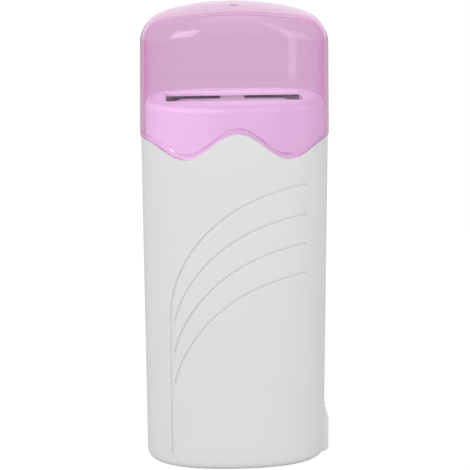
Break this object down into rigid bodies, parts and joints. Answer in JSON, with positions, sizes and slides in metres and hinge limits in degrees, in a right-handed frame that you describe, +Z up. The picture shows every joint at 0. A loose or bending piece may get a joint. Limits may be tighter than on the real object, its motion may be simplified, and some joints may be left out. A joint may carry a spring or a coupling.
{
  "type": "roll on wax heater",
  "caption": "Upright two-shell warmer for a roll-on wax cartridge, with an oval see-through cap, a slotted neck, a heated chamber and a side power inlet.",
  "frame": {"origin": "middle of the base face, on the body's widest line where its two shells meet", "axes": "+Z up through the cap, front with the arched grooves towards -Y, power inlet towards +X"},
  "size_m": [0.0735, 0.0501, 0.1816],
  "materials": {
    "cap_tint": "clear tinted polystyrene, polished",
    "body_white": "moulded ABS, soft gloss",
    "frame_white": "heat-proof moulding",
    "plate_metal": "rolled sheet, satin",
    "ceramic": "fired ceramic",
    "mica": "pressed mica",
    "plated_steel": "zinc plated",
    "fuse_case": "varnished",
    "woven_sleeve": "woven glass",
    "inlet_black": "fine grained",
    "contact_brass": "drawn",
    "wire_brown": "silicone",
    "wire_blue": "silicone",
    "wire_white": "silicone",
    "wire_red": "silicone",
    "lens_red": "clear red",
    "lamp_glass": "blown",
    "resistor_tan": "dipped"
  },
  "bodies": {
    "body": {"front_shell": "body_white", "rear_shell": "body_white", "neck_collar": "body_white", "chamber_frame": "frame_white", "heat_plate": "plate_metal", "ptc_element": "ceramic", "mica_sheets": "mica", "heater_bracket": "plated_steel", "heater_screws": "plated_steel", "thermal_fuse": "fuse_case", "fuse_sleeve": "woven_sleeve", "fuse_clip": "plated_steel", "inlet_body": "inlet_black", "inlet_contacts": "contact_brass", "live_wire": "wire_brown", "neutral_wire": "wire_blue", "link_wire": "wire_white", "crimp_sleeves": "contact_brass", "indicator_lens": "lens_red", "lens_ring": "plated_steel", "neon_lamp": "lamp_glass", "lamp_resistor": "resistor_tan", "lamp_wires": "wire_red", "case_screws": "plated_steel", "frame_screws": "plated_steel"},
    "cap": {"cap": "cap_tint"}
  },
  "joints": [
    {"name": "cap_lift", "type": "slide", "parent": "body", "child": "cap", "axis": [0, 0, 1], "range_m": [0, 0.06]}
  ]
}
